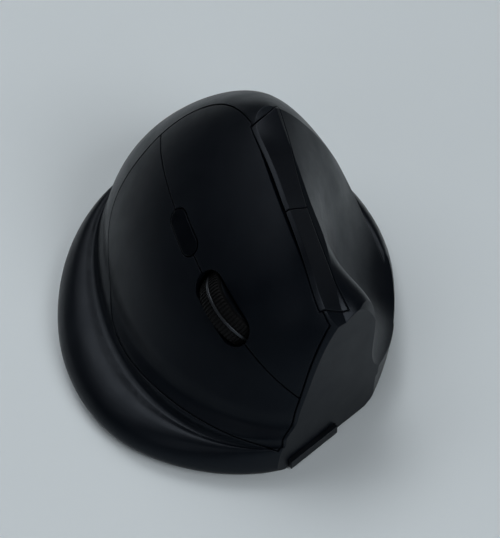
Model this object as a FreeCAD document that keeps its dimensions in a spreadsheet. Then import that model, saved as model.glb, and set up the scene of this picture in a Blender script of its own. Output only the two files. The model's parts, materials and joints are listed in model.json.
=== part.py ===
# A right-handed upright mouse: shells, keys, wheel, boards, battery and base, each its own solid
import FreeCAD
import Part
import Sketcher
import math
import os
import re
from FreeCAD import Placement, Rotation, Vector

# Frame: millimetres, +Z up, the nose points to -Y, the finger keys face -X and the thumb side +X.
# The origin lies on the desk under the middle of the mouse.

SIZES = [
    ("shell_wall", 2.2), ("key_wall", 1.8), ("key_gap", 0.35), ("key_room", 0.9),
    ("waist_height", 8.0), ("crown_height", 62.5),
    ("waist_x", 3.0), ("waist_y", -5.0), ("crown_x", 12.5), ("crown_y", 5.5),
    ("finger_reach", 34.5), ("thumb_reach", 37.0), ("nose_reach", 48.0), ("heel_reach", 54.0),
    ("finger_power", 2.15), ("finger_root", 1.1), ("thumb_power", 1.3), ("thumb_root", 1.25),
    ("nose_power", 6.3), ("nose_root", 0.85), ("heel_power", 1.9), ("heel_root", 1.2),
    ("front_finger_low", 0.71), ("front_finger_high", 0.62),
    ("front_thumb_low", 0.67), ("front_thumb_high", 0.85), ("rear_thumb", 0.72), ("rear_finger", 0.76),
    ("skirt_foot", 0.9), ("ledge_height", 10.0),
    ("strip_wall", 1.0),
    ("face_azimuth", 208.5), ("face_elevation", 37.5), ("face_spin", -22.3),
    ("face_x", -9.5), ("face_y", -29.8), ("face_height", 37.3),
    ("split_y", -0.8), ("split_gap", 0.4),
    ("wheel_radius", 11.0), ("wheel_width", 6.4), ("wheel_proud", 2.6), ("tyre_thickness", 1.8),
    ("axle_radius", 1.5), ("axle_length", 17.4), ("running_fit", 0.06),
    ("slot_length", 20.4), ("slot_width", 8.4),
    ("dpi_x", -22.3), ("dpi_length", 13.0), ("dpi_width", 4.8), ("dpi_gap", 0.35), ("dpi_proud", 0.1),
    ("board_depth", 19.0), ("board_thickness", 1.6), ("board_front", 18.4), ("board_rear", -31.0),
    ("board_low", -14.5), ("board_high", 11.6),
    ("frame_thickness", 2.0), ("frame_front", 16.8), ("frame_rear", -45.2), ("frame_low", -17.0), ("frame_high", 15.4),
    ("rod_x", -42.0), ("rod_depth", 17.8), ("rod_radius", 1.0), ("lug_width", 2.0), ("lug_radius", 2.0),
    ("switch_length", 12.8), ("switch_width", 5.8), ("switch_height", 6.5), ("switch_x", 11.4),
    ("plunger_height", 0.7), ("key_clearance", 0.6),
    ("tact_side", 6.0), ("tact_height", 3.5), ("tact_button", 0.9), ("tact_clearance", 0.45),
    ("side_board_y", 12.6), ("side_board_thickness", 1.2), ("side_switch_depth", 11.6),
    ("forward_arm_depth", 8.2), ("back_arm_depth", 11.6), ("arm_bend", 21.0), ("arm_width", 3.0),
    ("forward_x", 2.0), ("back_x", -20.0), ("strip_split_x", -9.5),
    ("plate_bottom", 0.8), ("plate_thickness", 2.0), ("plate_gap", 0.7), ("foot_recess", 0.3),
    ("lip_proud", 1.0), ("lip_height", 2.6),
    ("main_board_bottom", 6.0), ("main_board_thickness", 1.6),
    ("main_board_left", -27.0), ("main_board_right", 3.0), ("main_board_front", -23.0), ("main_board_back", 26.0),
    ("battery_radius", 7.25), ("battery_length", 50.5), ("battery_x", 14.0), ("battery_front", -17.0),
    ("battery_height", 10.3), ("nub_radius", 2.7), ("nub_length", 1.0),
    ("cell_wall", 1.3), ("door_gap", 0.3), ("pin_radius", 0.6), ("pin_reach", 1.3),
    ("leg_radius", 3.2), ("screw_radius", 1.0), ("screw_fit", 0.05), ("screw_head_radius", 2.0),
    ("receiver_x", -6.0), ("receiver_y", 32.5), ("receiver_length", 14.6), ("receiver_width", 6.2),
    ("receiver_cap", 5.0), ("plug_length", 12.0), ("plug_width", 4.5), ("plug_reach", 11.5),
    ("receiver_gap", 0.25), ("bay_wall", 1.2),
    ("sensor_x", -14.0), ("sensor_y", 1.0), ("sensor_length", 10.0), ("sensor_width", 7.6), ("sensor_hole", 4.4),
    ("slide_x", -18.0), ("slide_y", -14.5), ("slide_travel", 2.6),
    ("foot_thickness", 1.1), ("foot_width", 5.5), ("foot_length", 24.0), ("short_foot_length", 15.0),
]

doc = FreeCAD.newDocument("UprightMouse")
sheet = doc.addObject("Spreadsheet::Sheet", "Sizes")


def fill_sheet():
    for row, (name, size) in enumerate(SIZES, start=1):
        sheet.set("A%d" % row, name)
        sheet.set("B%d" % row, str(size))
        sheet.setAlias("B%d" % row, name)
    doc.recompute()


fill_sheet()


def size(name):
    return float(sheet.get(name))


WALL = size("shell_wall")
UP = Vector(0, 0, 1)
DRAWN_CROWN = 62.5


def lifted(height):
    """A height over the waist as drawn for a crown of 62.5, at the crown's real height."""
    waist = size("waist_height")
    return waist + (height - waist) * (size("crown_height") - waist) / (DRAWN_CROWN - waist)


# Small makers shared by the pieces

def keep(name, shape):
    piece = doc.addObject("Part::Feature", name)
    piece.Label = name
    piece.Shape = shape
    return piece


def bind(piece, **cells):
    for prop, formula in cells.items():
        piece.setExpression(prop, formula)
    return piece


def cell(formula):
    """Turns the plain size names in a formula into references to the sheet."""
    return re.sub(r"[a-z][a-z_]+", r"Sizes.\g<0>", formula)


def block(name, length, width, height, place=None):
    piece = doc.addObject("Part::Box", name)
    bind(piece, Length=cell(length), Width=cell(width), Height=cell(height))
    if place:
        piece.Placement = place
    return piece


def rod(name, radius, height, place=None):
    piece = doc.addObject("Part::Cylinder", name)
    bind(piece, Radius=cell(radius), Height=cell(height))
    if place:
        piece.Placement = place
    return piece


def cut(name, base, tool):
    piece = doc.addObject("Part::Cut", name)
    piece.Base = base
    piece.Tool = tool
    return piece


def at(x, y, z, turn=None):
    return Placement(Vector(x, y, z), turn or Rotation())


def box_shape(low, high):
    span = high - low
    return Part.makeBox(span.x, span.y, span.z, low)


def stadium(length, width, low, high):
    """An upright prism with two round ends, its long way along X, centred on the Z axis."""
    half = (length - width) / 2
    radius = width / 2
    edges = [
        Part.makeLine(Vector(-half, -radius, low), Vector(half, -radius, low)),
        Part.Arc(Vector(half, -radius, low), Vector(half + radius, 0, low), Vector(half, radius, low)).toShape(),
        Part.makeLine(Vector(half, radius, low), Vector(-half, radius, low)),
        Part.Arc(Vector(-half, radius, low), Vector(-half - radius, 0, low), Vector(-half, -radius, low)).toShape(),
    ]
    return Part.Face(Part.Wire(edges)).extrude(Vector(0, 0, high - low))


# The finger frame: its origin lies on the key face at the wheel, X runs to the nose along the wheel's
# slot, Y runs up to the ridge and Z points out of the key face.

def finger_axes():
    azimuth = math.radians(size("face_azimuth"))
    elevation = math.radians(size("face_elevation"))
    spin = math.radians(size("face_spin"))
    out = Vector(
        math.cos(azimuth) * math.cos(elevation),
        math.sin(azimuth) * math.cos(elevation),
        math.sin(elevation),
    )
    level = Vector(-math.sin(azimuth), math.cos(azimuth), 0)
    rise = out.cross(level)
    forward = level * math.cos(spin) + rise * math.sin(spin)
    return forward, out.cross(forward), out


FACE_X, FACE_Y, FACE_Z = finger_axes()
FACE_CORNER = Vector(size("face_x"), size("face_y"), lifted(size("face_height")))
FACE = Placement(FACE_CORNER, Rotation(FACE_X, FACE_Y, FACE_Z, "ZXY"))


def on_face(x, y, z, turn=None):
    return FACE.multiply(at(x, y, z, turn))


def placed(shape, place):
    moved = shape.copy()
    moved.Placement = place.multiply(moved.Placement)
    return moved


# Outer form: one skin that rises from the desk over a soft finger ledge into an egg that leans to the
# thumb, less a ridge facet with the thumb wall, and a flat nose

EGG_SHARES = (0.12, 0.18, 0.25, 0.38, 0.5, 0.61, 0.71, 0.8, 0.88, 0.94, 0.98)
RING_STEPS = 16
OUTLINE = (
    (-45.1, -8.0), (-41.0, -28.5), (-30.0, -43.0), (-9.0, -53.5), (10.0, -52.0), (30.0, -33.0),
    (41.8, -9.0), (44.6, 17.0), (38.0, 39.5), (6.0, 54.2), (-26.0, 41.8), (-40.5, 17.5),
)

# Each ring of the ledge: its share of the way from the egg to the outline, how far it draws in from
# there, and its share of the ledge's height
LEDGE_RINGS = (
    (1.0, 1.3, 0.0), (1.0, 0.35, 0.14), (1.0, 0.0, 0.3), (0.97, 0.0, 0.45), (0.88, 0.0, 0.64), (0.74, 0.0, 0.81),
    (0.58, 0.0, 0.93), (0.42, 0.0, 0.98), (0.3, 0.0, 0.98), (0.19, 0.0, 0.96), (0.1, 0.0, 1.0),
    (0.04, 0.0, 1.1), (0.0, 0.0, 1.24),
)
WAIST = Vector(size("waist_x"), size("waist_y"), 0)


def fullness(share, power, root):
    return (1 - share ** power) ** (1 / root)


def closed_curve(points, parameters=None):
    curve = Part.BSplineCurve()
    if parameters:
        curve.interpolate(Points=points, PeriodicFlag=True, Parameters=parameters)
    else:
        curve.interpolate(Points=points, PeriodicFlag=True)
    return curve


def even(steps):
    return [step / steps for step in range(steps + 1)]


OUTLINE_EDGE = closed_curve([Vector(x, y, 0) for x, y in OUTLINE]).toShape()


def egg_points(share, inset, drop):
    """Points round one level of the egg, on a curve through four reaches and four shoulders."""
    middle_x = size("waist_x") + (size("crown_x") - size("waist_x")) * share
    middle_y = size("waist_y") + (size("crown_y") - size("waist_y")) * share
    left = (size("finger_reach") - inset) * fullness(share, size("finger_power"), size("finger_root"))
    right = (size("thumb_reach") - inset) * fullness(share, size("thumb_power"), size("thumb_root"))
    front = (size("nose_reach") - inset) * fullness(share, size("nose_power"), size("nose_root"))
    rear = (size("heel_reach") - inset) * fullness(share, size("heel_power"), size("heel_root"))
    shoulder = size("front_finger_low") + (size("front_finger_high") - size("front_finger_low")) * share
    thumb_shoulder = size("front_thumb_low") + (size("front_thumb_high") - size("front_thumb_low")) * share
    height = size("waist_height") + (size("crown_height") - drop - size("waist_height")) * share
    plan = [
        (right, 0),
        (right * size("rear_thumb"), rear * size("rear_thumb")),
        (0, rear),
        (-left * size("rear_finger"), rear * size("rear_finger")),
        (-left, 0),
        (-left * shoulder, -front * shoulder),
        (0, -front),
        (right * thumb_shoulder, -front * thumb_shoulder),
    ]
    curve = closed_curve([Vector(middle_x + x, middle_y + y, height) for x, y in plan], even(8))
    return [curve.value(step / RING_STEPS) for step in range(RING_STEPS)]


def ring(points):
    return Part.Wire(closed_curve(points, even(RING_STEPS)).toShape())


def crown(drop):
    return Part.Vertex(Vector(size("crown_x"), size("crown_y"), size("crown_height") - drop))


def egg(inset, drop):
    rings = [ring(egg_points(share, inset, drop)) for share in (0.0,) + EGG_SHARES]
    return Part.makeLoft(rings + [crown(drop)], True, False)


def ledge_ring(share, draw, height, inset):
    points = []
    for start in egg_points(0.0, inset, 0.0):
        away = Vector(start.x, start.y, 0) - WAIST
        away.normalize()
        ray = Part.makeLine(WAIST, WAIST + away * 90)
        end = ray.distToShape(OUTLINE_EDGE)[1][0][1] - away * inset
        spot = start + (end - start) * share - away * draw
        points.append(Vector(spot.x, spot.y, height))
    return ring(points)


def outline_face(height, inset):
    return Part.Face(ledge_ring(1.0, 0.0, height, inset))


def skin(inset, drop, foot, top):
    """The whole skin from foot to crown, drawn in by inset."""
    rings = [ledge_ring(share, draw, foot + (top - foot) * rise, inset) for share, draw, rise in LEDGE_RINGS]
    rings += [ring(egg_points(share, inset, drop)) for share in EGG_SHARES]
    return Part.makeLoft(rings + [crown(drop)], True, False)


# Stations along the thumb side: Y, then X and Z of the ridge, of the groove under the facet, and of
# four points down the thumb wall
STATIONS = (
    (-62.0, (17.0, 20.0), (20.0, 18.6), (25.0, 16.0), (28.0, 13.0), (31.0, 10.5), (38.0, 7.5)),
    (-44.5, (13.2, 40.7), (16.2, 38.6), (22.6, 35.6), (23.8, 25.0), (24.2, 15.0), (30.0, 8.6)),
    (-38.0, (10.9, 47.3), (15.4, 44.0), (24.4, 36.6), (25.4, 25.0), (26.4, 14.5), (33.0, 8.4)),
    (-31.4, (10.1, 51.3), (16.0, 46.9), (23.0, 36.0), (27.2, 23.0), (30.8, 13.0), (38.0, 8.2)),
    (-17.5, (9.2, 56.1), (15.8, 51.3), (20.8, 36.0), (27.2, 19.0), (33.6, 11.6), (41.0, 8.0)),
    (-5.0, (8.7, 58.8), (15.2, 56.0), (23.0, 41.0), (29.4, 22.0), (36.2, 12.2), (43.0, 8.4)),
    (5.8, (7.9, 60.4), (14.2, 60.8), (22.6, 50.0), (29.6, 35.5), (36.6, 17.6), (45.0, 9.4)),
    (20.0, (8.4, 65.0), (15.0, 67.0), (22.0, 58.0), (29.0, 43.5), (37.0, 26.0), (46.0, 14.0)),
    (38.0, (10.0, 74.0), (18.0, 78.0), (28.0, 70.0), (37.0, 55.0), (46.0, 38.0), (55.0, 25.0)),
)
FACET_RUN = 15.8
FACET_RISE = 12.0
FAR_X = 105.0
FAR_Z = 125.0


def thumb_cutter(shift_x, shift_z):
    wires = []
    for y, ridge, groove, *wall in STATIONS:
        crest = Vector(ridge[0] + shift_x, y, lifted(ridge[1]) + shift_z)
        back = crest + Vector(-FACET_RUN, 0, FACET_RISE)
        edge = Vector(groove[0] + shift_x, y, lifted(groove[1]) + shift_z)
        points = [edge] + [Vector(x + shift_x, y, lifted(z) + shift_z) for x, z in wall]
        curve = Part.BSplineCurve()
        curve.interpolate(points)
        low = Vector(FAR_X, y, points[-1].z)
        corner = Vector(FAR_X, y, FAR_Z)
        over = Vector(back.x, y, FAR_Z)
        edges = [Part.makeLine(back, crest), Part.makeLine(crest, edge), curve.toShape()]
        for start, end in ((points[-1], low), (low, corner), (corner, over), (over, back)):
            edges.append(Part.makeLine(start, end))
        wires.append(Part.Wire(edges))
    return Part.makeLoft(wires, True, False)


NOSE_CORNER = Vector(-0.3, -52.7, 4.0)
NOSE_OUT = Vector(0.4777, -0.8785, -0.0073).normalize()
NOSE_ALONG = UP.cross(NOSE_OUT).normalize()


def nose_block(shift):
    """Everything in front of the nose's flat, moved out by shift."""
    frame = Placement(NOSE_CORNER + NOSE_OUT * shift, Rotation(NOSE_OUT, NOSE_ALONG, UP, "XZY"))
    return placed(box_shape(Vector(0, -60.0, -20.0), Vector(110, 60, 60.0)), frame)


FACET_OUT = (0.605, 0.796)
CLOSE_CUT = 0.001


def facet_cutter(depth):
    """The thumb cutter moved in by depth across the facet."""
    return thumb_cutter(-FACET_OUT[0] * depth, -FACET_OUT[1] * depth)


def outer_form():
    whole = skin(0.0, 0.0, size("skirt_foot"), size("ledge_height"))
    return whole.cut(thumb_cutter(0.0, 0.0)).cut(nose_block(0.0))


def hollow(inset):
    """The skin drawn in by inset, open towards the desk."""
    return skin(inset, 1.2 * inset, size("skirt_foot") - 2.0, size("ledge_height") - 0.9 * inset)


def bitten(base, tool):
    """The base less the tool, by whichever cut takes more away."""
    cuts = [base.cut(tool), base.cut([tool], CLOSE_CUT)]
    return min(cuts, key=lambda shape: shape.Volume)


def inner_form():
    inside = bitten(hollow(WALL), thumb_cutter(-0.9 * WALL, -0.75 * WALL))
    return inside.cut(nose_block(-WALL))


# The key panel's outline in the finger frame: round the rear and the low side, straight along the
# nose and bowed along the ridge
ROUND_EDGE = (
    (-35.5, 25.8), (-43.5, 22.1), (-50.5, 14.4), (-53.5, 3.0), (-52.3, -10.0), (-47.1, -24.0),
    (-34.0, -30.4), (-18.5, -35.2), (-2.0, -31.6), (14.0, -24.9), (32.1, -14.6),
)
RIDGE_EDGE = ((18.35, 17.7), (2.0, 22.4), (-12.5, 24.2), (-24.9, 25.2), (-35.5, 25.8))
PANEL_MIDDLE = (-12.0, -4.0)


def drawn_in(points, inset):
    moved = []
    for x, y in points:
        reach_x = x - PANEL_MIDDLE[0]
        reach_y = y - PANEL_MIDDLE[1]
        share = 1 - inset / math.hypot(reach_x, reach_y)
        moved.append(Vector(PANEL_MIDDLE[0] + reach_x * share, PANEL_MIDDLE[1] + reach_y * share, 0))
    return moved


def panel_prism(inset, low, high):
    round_points = drawn_in(ROUND_EDGE, inset)
    ridge_points = drawn_in(RIDGE_EDGE, inset)
    round_curve = Part.BSplineCurve()
    round_curve.interpolate(round_points)
    ridge_curve = Part.BSplineCurve()
    ridge_curve.interpolate(ridge_points)
    nose_line = Part.makeLine(round_points[-1], ridge_points[0])
    wire = Part.Wire([round_curve.toShape(), nose_line, ridge_curve.toShape()])
    prism = Part.Face(wire).extrude(Vector(0, 0, high - low))
    prism.translate(Vector(0, 0, low))
    return placed(prism, FACE)


# The side keys' outline seen along the finger frame's Y: from over the ridge to the groove
STRIP_TOP = ((14.5, -4.4), (2.0, -2.7), (-12.5, -4.6), (-33.5, -9.6))
STRIP_FALL = 7.4
STRIP_FORWARD = 2.0
STRIP_REACH = 30.0
STRIP_START = 14.5
STRIP_SLANT = 5.0
PANEL_FLOOR = -27.0
PANEL_ROOF = 10.0

# The deep corner under the nose end of the ridge, where the shell stays whole
THUMB_CORNER = Vector(5.0, 5.0, -34.0)


def strip_prism(inset):
    top = [Vector(x, STRIP_START, z - inset) for x, z in STRIP_TOP]
    bottom = [Vector(x + STRIP_FORWARD, STRIP_START, z - STRIP_FALL + inset) for x, z in reversed(STRIP_TOP)]
    top[0].x -= inset
    bottom[-1].x -= inset
    top[-1].x += inset
    bottom[0].x += inset - STRIP_SLANT
    upper = Part.BSplineCurve()
    upper.interpolate(top)
    lower = Part.BSplineCurve()
    lower.interpolate(bottom)
    wire = Part.Wire([
        upper.toShape(),
        Part.makeLine(top[-1], bottom[0]),
        lower.toShape(),
        Part.makeLine(bottom[-1], top[0]),
    ])
    return placed(Part.Face(wire).extrude(Vector(0, STRIP_REACH, 0)), FACE)


def split_slab(gap):
    middle = size("split_y")
    slab = box_shape(Vector(-75, middle - gap / 2, PANEL_FLOOR), Vector(55, middle + gap / 2, PANEL_ROOF))
    return placed(slab, FACE)


def strip_split(gap):
    middle = size("strip_split_x")
    slab = box_shape(Vector(middle - gap / 2, 0, -30), Vector(middle + gap / 2, 50, 5))
    return placed(slab, FACE)


def largest(shape, count):
    """The largest solids of a shape, so that no loose crumb is kept."""
    return sorted(shape.Solids, key=lambda solid: -solid.Volume)[:count]


def face_y(solid):
    return FACE.inverse().multVec(solid.CenterOfMass).y


def face_x(solid):
    return FACE.inverse().multVec(solid.CenterOfMass).x


# Shells and keys

def screw_spots():
    return LEG_SPOTS + [(x, y) for x, y, _ in BOSSES]


LEG_SPOTS = [(8.0, -26.0), (-4.0, -12.0), (-2.0, 13.0)]
BOSSES = [(-35.0, -6.0, 7.8), (33.0, 10.0, 12.6), (-19.5, 38.0, 12.0)]
BOSS_RADIUS = 3.0


def plate_top():
    return size("plate_bottom") + size("plate_thickness")


def pilot(x, y, top):
    return Part.makeCylinder(size("screw_radius") + size("screw_fit"), top, Vector(x, y, 0))


def lip_block(grow, low, high):
    """The bar under the nose that is left bare by the shell."""
    frame = Placement(NOSE_CORNER, Rotation(NOSE_OUT, NOSE_ALONG, UP, "XZY"))
    bar = box_shape(
        Vector(-7.0, 0.6 - grow, low - NOSE_CORNER.z),
        Vector(size("lip_proud") + grow, 16.4 + grow, high - NOSE_CORNER.z),
    )
    return placed(bar, frame)


def make_shells():
    outer = outer_form()
    layer = outer.cut(inner_form())
    key_depth = size("key_wall") + size("key_room")
    opening = outer.cut(hollow(key_depth)).common(panel_prism(0.0, PANEL_FLOOR, PANEL_ROOF))
    opening = opening.cut(placed(box_shape(THUMB_CORNER, THUMB_CORNER + Vector(30, 30, 20)), FACE))
    shell = layer.cut(opening).cut(strip_prism(-size("key_gap")))
    lip_top = size("plate_bottom") + size("lip_height")
    shell = shell.cut(lip_block(0.3, -2.0, lip_top + 0.25))
    room = hollow(0.5 * WALL)
    for x, y, top in BOSSES:
        boss = Part.makeCylinder(BOSS_RADIUS, top - plate_top(), Vector(x, y, plate_top()))
        shell = shell.fuse(boss.common(room))
        shell = shell.cut(pilot(x, y, plate_top() + 4.2))
    keep("main_shell", largest(shell, 1)[0])

    panel = outer.cut(hollow(size("key_wall")))
    panel = panel.common(panel_prism(size("key_gap"), PANEL_FLOOR, PANEL_ROOF))
    strip_room = strip_prism(-size("key_gap")).common(facet_cutter(size("strip_wall") + size("key_gap")))
    panel = panel.cut(strip_room)
    panel = panel.cut(split_slab(size("split_gap")))
    wheel_slot = stadium(size("slot_length"), size("slot_width"), PANEL_FLOOR, PANEL_ROOF)
    panel = panel.cut(placed(wheel_slot, on_face(0, size("split_y"), 0)))
    dpi_hole = stadium(
        size("dpi_length") + 2 * size("dpi_gap"),
        size("dpi_width") + 2 * size("dpi_gap"),
        PANEL_FLOOR,
        PANEL_ROOF,
    )
    panel = panel.cut(placed(dpi_hole, on_face(size("dpi_x"), size("split_y"), 0)))
    low_key, high_key = sorted(largest(panel, 2), key=face_y)
    keep("index_button", with_key_parts(high_key, (3.0, 10.0), 8.6))
    keep("middle_button", with_key_parts(low_key, (-7.6, -14.6), -11.4))

    strip = outer.common(strip_prism(0.0)).common(facet_cutter(size("strip_wall")))
    strip = strip.cut(strip_split(size("split_gap")))
    back, forward = sorted(largest(strip, 2), key=face_x)
    keep("forward_button", with_arm(forward, size("forward_x"), size("forward_arm_depth")))
    keep("back_button", with_arm(back, size("back_x"), size("back_arm_depth")))


def with_key_parts(key, lug_starts, post_y):
    """Adds the two lugs that turn on the rod and the post that meets the switch."""
    core = egg(0.5 * size("key_wall"), 0.6 * size("key_wall"))
    rod_x = size("rod_x")
    rod_z = -size("rod_depth")
    radius = size("lug_radius")
    for start in lug_starts:
        end = start + size("lug_width")
        web = placed(box_shape(Vector(rod_x - radius, start, rod_z), Vector(rod_x + radius, end, 0)), FACE)
        eye = Part.makeCylinder(radius, size("lug_width"), Vector(rod_x, start, rod_z), Vector(0, 1, 0))
        key = key.fuse(web.common(core)).fuse(placed(eye, FACE))
    switch_top = -size("board_depth") + size("switch_height") + size("plunger_height")
    low = Vector(size("switch_x") - 2.0, post_y - 1.5, switch_top + size("key_clearance"))
    high = Vector(size("switch_x") + 2.0, post_y + 1.5, 0)
    key = key.fuse(placed(box_shape(low, high), FACE).common(core))
    bore = Part.makeCylinder(size("rod_radius") + size("running_fit"), 60, Vector(rod_x, -30, rod_z), Vector(0, 1, 0))
    return largest(key.cut(placed(bore, FACE)), 1)[0]


def with_arm(key, x, depth):
    """Adds the arm that runs in through the wall at depth, and its foot in front of the side switch."""
    half = size("arm_width") / 2
    tip = size("side_board_y") + size("side_board_thickness") + size("tact_height") + size("tact_button")
    bend = size("arm_bend")
    arm_low = Vector(x - half, bend - half, -depth - half)
    arm = box_shape(arm_low, Vector(x + half, STRIP_START + STRIP_REACH, -depth + half))
    foot_low = Vector(x - half, tip + size("tact_clearance"), -size("side_switch_depth") - half)
    foot = box_shape(foot_low, Vector(x + half, bend, -depth + half))
    stem = placed(arm.fuse(foot), FACE).cut(facet_cutter(0.5 * size("strip_wall")))
    return largest(key.fuse(stem), 1)[0]


# Wheel

def revolved(name, profile, place):
    """A body turned about its own Z axis from (radius, height) formulas."""
    body = doc.addObject("PartDesign::Body", name)
    sketch = body.newObject("Sketcher::SketchObject", name + "_profile")
    plane = [item for item in body.Origin.OriginFeatures if item.Role == "XZ_Plane"][0]
    sketch.AttachmentSupport = [(plane, "")]
    sketch.MapMode = "FlatFace"
    count = len(profile)
    spots = [Vector(float(index + 1), float(index % 2 + 1), 0) for index in range(count)]
    for index in range(count):
        sketch.addGeometry(Part.LineSegment(spots[index], spots[(index + 1) % count]), False)
    for index in range(count):
        sketch.addConstraint(Sketcher.Constraint("Coincident", index, 2, (index + 1) % count, 1))
    for index, (radius, height) in enumerate(profile):
        set_spot(sketch, index, "DistanceX", radius)
        set_spot(sketch, index, "DistanceY", height)
    turn = body.newObject("PartDesign::Revolution", name + "_turned")
    turn.Profile = sketch
    turn.ReferenceAxis = (sketch, ["V_Axis"])
    turn.Angle = 360.0
    body.Tip = turn
    body.Placement = place
    return body


def set_spot(sketch, index, kind, formula):
    if formula == "0":
        axis = -2 if kind == "DistanceX" else -1
        sketch.addConstraint(Sketcher.Constraint("PointOnObject", index, 1, axis))
        return
    number = sketch.addConstraint(Sketcher.Constraint(kind, -1, 1, index, 1, 1.0))
    sketch.setExpression("Constraints[%d]" % number, cell(formula))


def wheel_place():
    depth = size("wheel_radius") - size("wheel_proud")
    return on_face(0, size("split_y") - size("axle_length") / 2, -depth, Rotation(Vector(1, 0, 0), -90))


def make_wheel():
    near = "(axle_length - wheel_width) / 2"
    far = "(axle_length + wheel_width) / 2"
    rim = "wheel_radius - tyre_thickness"
    hub = [
        ("0", "0"), ("axle_radius", "0"), ("axle_radius", near), (rim, near),
        (rim, far), ("axle_radius", far), ("axle_radius", "axle_length"), ("0", "axle_length"),
    ]
    revolved("wheel_hub", hub, wheel_place())
    crown = "wheel_radius"
    shoulder = "wheel_radius - 0.7"
    tyre = [
        (rim, near), (shoulder, near), (crown, near + " + 1.0"),
        (crown, far + " - 1.0"), (shoulder, far), (rim, far),
    ]
    revolved("wheel_tyre", tyre, wheel_place())


def make_wheel_carriers():
    depth = size("wheel_radius") - size("wheel_proud")
    board = -size("board_depth")
    post_inner = size("split_y") - size("wheel_width") / 2 - 2.8
    bore = placed(
        Part.makeCylinder(size("axle_radius") + size("running_fit"), 40, Vector(0, -20, -depth), Vector(0, 1, 0)), FACE
    )
    post = box_shape(Vector(-3.5, post_inner - 2.4, board), Vector(3.5, post_inner, -depth + 3.2))
    foot = box_shape(Vector(-3.5, post_inner - 3.6, board), Vector(3.5, post_inner + 1.0, board + 1.4))
    keep("wheel_post", placed(post.fuse(foot), FACE).cut(bore))
    start = size("split_y") + size("wheel_width") / 2 + 2.2
    case = box_shape(Vector(-4.4, start, board), Vector(4.4, start + 5.0, -depth + 4.0))
    keep("wheel_encoder", placed(case, FACE).cut(bore))


# Inner frame, hinge rod, boards and switches

def ear_starts():
    return (size("frame_low"), -1.8, size("frame_high") - 2.0)


def make_frame():
    floor = -size("board_depth") - size("board_thickness") - size("frame_thickness")
    plate_low = Vector(size("frame_rear"), size("frame_low"), floor)
    plate_high = Vector(size("frame_front"), size("frame_high"), floor + size("frame_thickness"))
    frame = placed(box_shape(plate_low, plate_high), FACE)
    rod_x = size("rod_x")
    rod_z = -size("rod_depth")
    ear_radius = size("lug_radius")
    for start in ear_starts():
        ear = box_shape(Vector(rod_x - ear_radius, start, floor + 1), Vector(rod_x + ear_radius, start + 2.0, rod_z))
        eye = Part.makeCylinder(ear_radius, 2.0, Vector(rod_x, start, rod_z), Vector(0, 1, 0))
        frame = frame.fuse(placed(ear, FACE)).fuse(placed(eye, FACE))
    above = placed(box_shape(Vector(-90, -90, floor + 1), Vector(90, 90, 90)), FACE)
    for x, y in LEG_SPOTS:
        leg = Part.makeCylinder(size("leg_radius"), 50, Vector(x, y, plate_top()))
        frame = frame.fuse(leg.cut(above))
    for x, y in LEG_SPOTS:
        frame = frame.cut(pilot(x, y, plate_top() + 6.0))
    span = size("frame_high") - size("frame_low")
    bore = Part.makeCylinder(size("rod_radius"), span, Vector(rod_x, size("frame_low"), rod_z), Vector(0, 1, 0))
    keep("inner_frame", frame.cut(placed(bore, FACE)))
    place = on_face(rod_x, size("frame_low"), rod_z, Rotation(Vector(1, 0, 0), -90))
    rod("hinge_rod", "rod_radius", "frame_high - frame_low", place)


def make_button_board():
    bottom = -size("board_depth") - size("board_thickness")
    plate = block(
        "button_board_blank", "board_front - board_rear", "board_high - board_low", "board_thickness",
        on_face(size("board_rear"), size("board_low"), bottom),
    )
    slot = block(
        "wheel_slot_tool", "2 * wheel_radius - 7", "wheel_width + 2", "board_thickness + 4",
        on_face(3.5 - size("wheel_radius"), size("split_y") - size("wheel_width") / 2 - 1, bottom - 2),
    )
    cut("button_board", plate, slot)


def microswitch(name, y):
    """A snap-action switch: a case with a small domed plunger."""
    board = -size("board_depth")
    half = size("switch_length") / 2
    low = Vector(size("switch_x") - half, y - size("switch_width") / 2, board)
    high = Vector(size("switch_x") + half, y + size("switch_width") / 2, board + size("switch_height"))
    plunger = Part.makeCylinder(1.1, size("plunger_height") + 1, Vector(size("switch_x"), y, high.z - 1))
    keep(name, placed(box_shape(low, high).fuse(plunger), FACE))


def tact(name, place):
    """A square push switch that stands along its own Z."""
    half = size("tact_side") / 2
    case = box_shape(Vector(-half, -half, 0), Vector(half, half, size("tact_height")))
    knob = Part.makeCylinder(1.6, size("tact_button") + 1, Vector(0, 0, size("tact_height") - 1))
    keep(name, placed(case.fuse(knob), place))


def make_switches():
    microswitch("index_switch", 8.6)
    microswitch("middle_switch", -11.4)
    tact("dpi_switch", on_face(size("dpi_x"), size("split_y"), -size("board_depth")))
    board_face = size("side_board_y") + size("side_board_thickness")
    for name, x in (("forward_switch", size("forward_x")), ("back_switch", size("back_x"))):
        tact(name, on_face(x, board_face, -size("side_switch_depth"), Rotation(Vector(1, 0, 0), -90)))
    block(
        "side_board", "forward_x - back_x + 12", "side_board_thickness",
        "board_depth + board_thickness - side_switch_depth + 3.2",
        on_face(size("back_x") - 6, size("side_board_y"), -size("board_depth") - size("board_thickness")),
    )


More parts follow.
